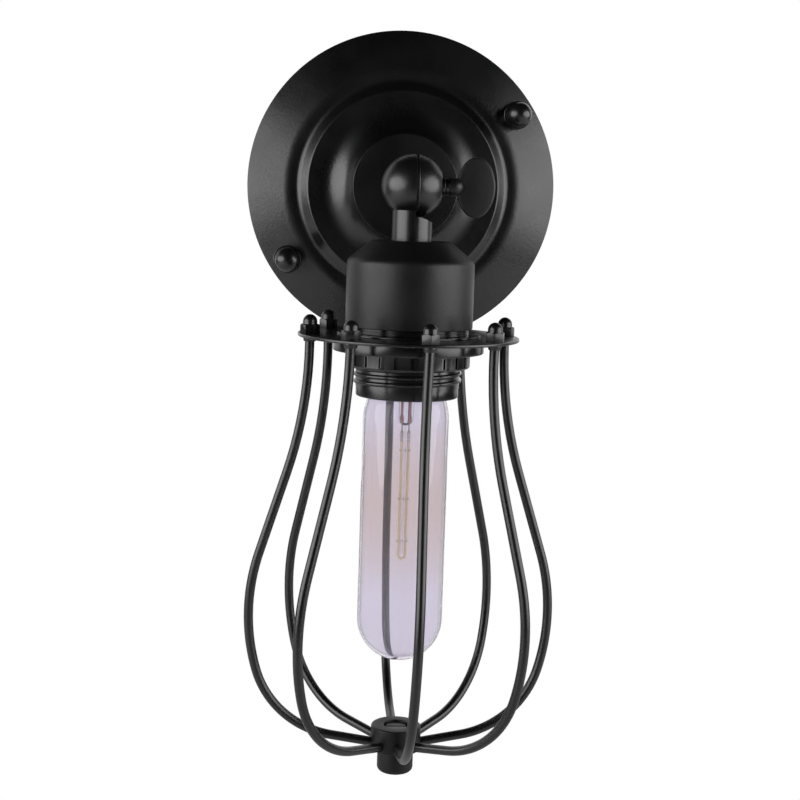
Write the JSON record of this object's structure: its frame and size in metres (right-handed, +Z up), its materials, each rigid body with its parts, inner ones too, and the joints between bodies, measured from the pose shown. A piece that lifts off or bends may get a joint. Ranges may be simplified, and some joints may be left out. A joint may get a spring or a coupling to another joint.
{
  "type": "cage wall light",
  "caption": "Black wall sconce: a round canopy, a ball knuckle with a thumb screw, a lamp socket and a bulb inside a bent-rod cage.",
  "frame": {"origin": "middle of the mounting plate's back face, on the wall, level with the knuckle's pivot", "axes": "+X to the right, +Y into the wall, -Y towards the viewer, +Z up"},
  "size_m": [0.124, 0.1206, 0.2837],
  "materials": {
    "satin_black": "satin black paint",
    "gloss_black": "glossy black paint",
    "thumb_black": "matte black paint",
    "black_steel": "blackened steel",
    "zinc_steel": "bright zinc plate",
    "ground_green": "green earth screw",
    "phenolic": "moulded glossy black",
    "vitrite": "black glass insulator",
    "brass": "plain brass",
    "fibre": "pressed fibre",
    "bulb_glass": "clear glass with a faint lavender tint",
    "stem_glass": "clear glass",
    "nickel": "nickel-plated",
    "filament": "unlit filament"
  },
  "bodies": {
    "canopy": {"canopy": "satin_black", "mounting_plate": "zinc_steel", "ground_screw": "ground_green", "canopy_studs": "zinc_steel", "cap_nut_seats": "satin_black", "canopy_cap_nuts": "gloss_black", "neck_nipple": "zinc_steel", "lock_washer": "zinc_steel", "neck_locknut": "zinc_steel", "wall_knuckle": "satin_black", "friction_washer": "fibre"},
    "head": {"head_knuckle": "satin_black", "stem_nipple": "zinc_steel", "socket_cup": "satin_black", "socket_strap": "zinc_steel", "stem_locknut": "zinc_steel", "socket_screws": "zinc_steel", "socket_body": "phenolic", "screw_shell": "brass", "shell_rivets": "brass", "centre_contact": "brass", "terminal_screws": "brass", "gasket": "phenolic", "cage_ring": "satin_black", "rod_1": "satin_black", "rod_2": "satin_black", "rod_3": "satin_black", "rod_4": "satin_black", "rod_5": "satin_black", "rod_6": "satin_black", "rod_7": "satin_black", "rod_8": "satin_black", "rod_cap_nuts": "gloss_black", "rod_collars": "satin_black", "cage_hub": "satin_black", "hub_finial": "satin_black", "hub_screw": "black_steel"},
    "thumb_screw": {"thumb_screw": "thumb_black", "pivot_washer": "black_steel", "spring_washer": "black_steel"},
    "retaining_ring": {"retaining_ring": "phenolic"},
    "bulb": {"bulb_glass": "bulb_glass", "bulb_base": "nickel", "base_insulator": "vitrite", "base_contact": "nickel", "bulb_stem": "stem_glass", "lead_wires": "nickel", "filament_support": "stem_glass", "filament": "filament"}
  },
  "joints": [
    {"name": "head_tilt", "type": "hinge", "parent": "canopy", "child": "head", "pos_m": [0, -0.062, 0], "axis": [-1, 0, 0], "range_deg": [0, 180]},
    {"name": "thumb_screw_turn", "type": "hinge", "parent": "head", "child": "thumb_screw", "pos_m": [0, -0.062, 0], "axis": [1, 0, 0], "continuous": true},
    {"name": "retaining_ring_turn", "type": "hinge", "parent": "head", "child": "retaining_ring", "pos_m": [0, -0.062, -0.06], "axis": [0, 0, 1], "continuous": true},
    {"name": "bulb_turn", "type": "hinge", "parent": "head", "child": "bulb", "pos_m": [0, -0.062, -0.06], "axis": [0, 0, 1], "continuous": true}
  ]
}
